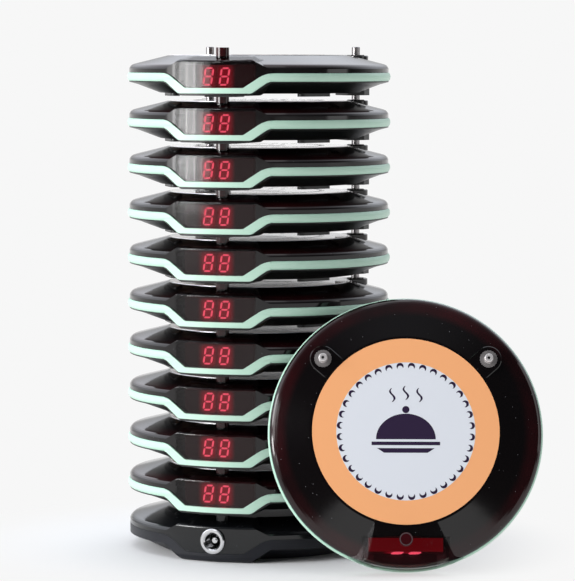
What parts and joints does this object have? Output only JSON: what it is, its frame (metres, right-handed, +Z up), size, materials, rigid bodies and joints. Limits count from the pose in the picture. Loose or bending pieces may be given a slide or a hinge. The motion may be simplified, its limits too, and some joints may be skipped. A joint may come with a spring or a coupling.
{
  "type": "guest pager charging stack",
  "caption": "Round guest pagers with a glowing rim band, stacked on a charging base that has a power jack, and one more pager leaning on edge against the stack.",
  "frame": {"origin": "centre of the charging base's underside, on the table top", "axes": "+Z up along the stack's axis; -Y towards the displays and the power jack; +X to the right of someone who faces the displays"},
  "size_m": [0.1723, 0.1152, 0.1939],
  "materials": {
    "cover_plastic": "gloss, near-black translucent red",
    "band_plastic": "satin translucent mint",
    "case_plastic": "fine matt texture",
    "electronics": "mixed, mostly hidden",
    "base_cover_plastic": "gloss black",
    "base_case_plastic": "satin charcoal",
    "jack_plastic": "black",
    "plated_metal": "bright plate",
    "pin_metal": "plain",
    "board": "green lacquer",
    "rubber_foot": "matt",
    "screw_steel": "black oxide",
    "label_film": "satin printed film",
    "display_module": "dark red window",
    "battery_cell": "foil pouch",
    "motor_can": "plain",
    "weight_metal": "sintered"
  },
  "bodies": {
    "charging_base": {"base_top_cover": "base_cover_plastic", "base_bottom_case": "base_case_plastic", "base_jack_housing": "jack_plastic", "base_jack_contacts": "plated_metal", "base_charging_pins": "pin_metal", "base_circuit_board": "board", "base_rubber_feet": "rubber_foot", "base_screws": "screw_steel"},
    "pager_01": {"pager_01_top_cover": "cover_plastic", "pager_01_light_ring": "band_plastic", "pager_01_bottom_case": "case_plastic", "pager_01_electronics": "electronics"},
    "pager_02": {"pager_02_top_cover": "cover_plastic", "pager_02_light_ring": "band_plastic", "pager_02_bottom_case": "case_plastic", "pager_02_electronics": "electronics"},
    "pager_03": {"pager_03_top_cover": "cover_plastic", "pager_03_light_ring": "band_plastic", "pager_03_bottom_case": "case_plastic", "pager_03_electronics": "electronics"},
    "pager_04": {"pager_04_top_cover": "cover_plastic", "pager_04_light_ring": "band_plastic", "pager_04_bottom_case": "case_plastic", "pager_04_electronics": "electronics"},
    "pager_05": {"pager_05_top_cover": "cover_plastic", "pager_05_light_ring": "band_plastic", "pager_05_bottom_case": "case_plastic", "pager_05_electronics": "electronics"},
    "pager_06": {"pager_06_top_cover": "cover_plastic", "pager_06_light_ring": "band_plastic", "pager_06_bottom_case": "case_plastic", "pager_06_electronics": "electronics"},
    "pager_07": {"pager_07_top_cover": "cover_plastic", "pager_07_light_ring": "band_plastic", "pager_07_bottom_case": "case_plastic", "pager_07_electronics": "electronics"},
    "pager_08": {"pager_08_top_cover": "cover_plastic", "pager_08_light_ring": "band_plastic", "pager_08_bottom_case": "case_plastic", "pager_08_electronics": "electronics"},
    "pager_09": {"pager_09_top_cover": "cover_plastic", "pager_09_light_ring": "band_plastic", "pager_09_bottom_case": "case_plastic", "pager_09_electronics": "electronics"},
    "pager_10": {"pager_10_top_cover": "cover_plastic", "pager_10_light_ring": "band_plastic", "pager_10_bottom_case": "case_plastic", "pager_10_electronics": "electronics"},
    "front_pager": {"front_pager_top_cover": "cover_plastic", "front_pager_light_ring": "band_plastic", "front_pager_bottom_case": "case_plastic", "front_pager_label": "label_film", "front_pager_charging_pins": "pin_metal", "front_pager_contact_plates": "pin_metal", "front_pager_circuit_board": "board", "front_pager_display": "display_module", "front_pager_battery": "battery_cell", "front_pager_vibration_motor": "motor_can", "front_pager_screws": "screw_steel"},
    "front_motor_weight": {"front_pager_motor_weight": "weight_metal"}
  },
  "joints": [
    {"name": "pager_01_lift", "type": "slide", "parent": "charging_base", "child": "pager_01", "axis": [0, 0, 1], "range_m": [0, 0.025]},
    {"name": "pager_02_lift", "type": "slide", "parent": "pager_01", "child": "pager_02", "axis": [0, 0, 1], "range_m": [0, 0.025]},
    {"name": "pager_03_lift", "type": "slide", "parent": "pager_02", "child": "pager_03", "axis": [0, 0, 1], "range_m": [0, 0.025]},
    {"name": "pager_04_lift", "type": "slide", "parent": "pager_03", "child": "pager_04", "axis": [0, 0, 1], "range_m": [0, 0.025]},
    {"name": "pager_05_lift", "type": "slide", "parent": "pager_04", "child": "pager_05", "axis": [0, 0, 1], "range_m": [0, 0.025]},
    {"name": "pager_06_lift", "type": "slide", "parent": "pager_05", "child": "pager_06", "axis": [0, 0, 1], "range_m": [0, 0.025]},
    {"name": "pager_07_lift", "type": "slide", "parent": "pager_06", "child": "pager_07", "axis": [0, 0, 1], "range_m": [0, 0.025]},
    {"name": "pager_08_lift", "type": "slide", "parent": "pager_07", "child": "pager_08", "axis": [0, 0, 1], "range_m": [0, 0.025]},
    {"name": "pager_09_lift", "type": "slide", "parent": "pager_08", "child": "pager_09", "axis": [0, 0, 1], "range_m": [0, 0.025]},
    {"name": "pager_10_lift", "type": "slide", "parent": "pager_09", "child": "pager_10", "axis": [0, 0, 1], "range_m": [0, 0.025]},
    {"name": "front_pager_lift", "type": "slide", "parent": "charging_base", "child": "front_pager", "axis": [0, 0, 1], "range_m": [0, 0.1]},
    {"name": "front_motor_spin", "type": "hinge", "parent": "front_pager", "child": "front_motor_weight", "pos_m": [0.0778, -0.04355, 0.02707], "axis": [0.9478, 0.319, 0], "continuous": true}
  ]
}
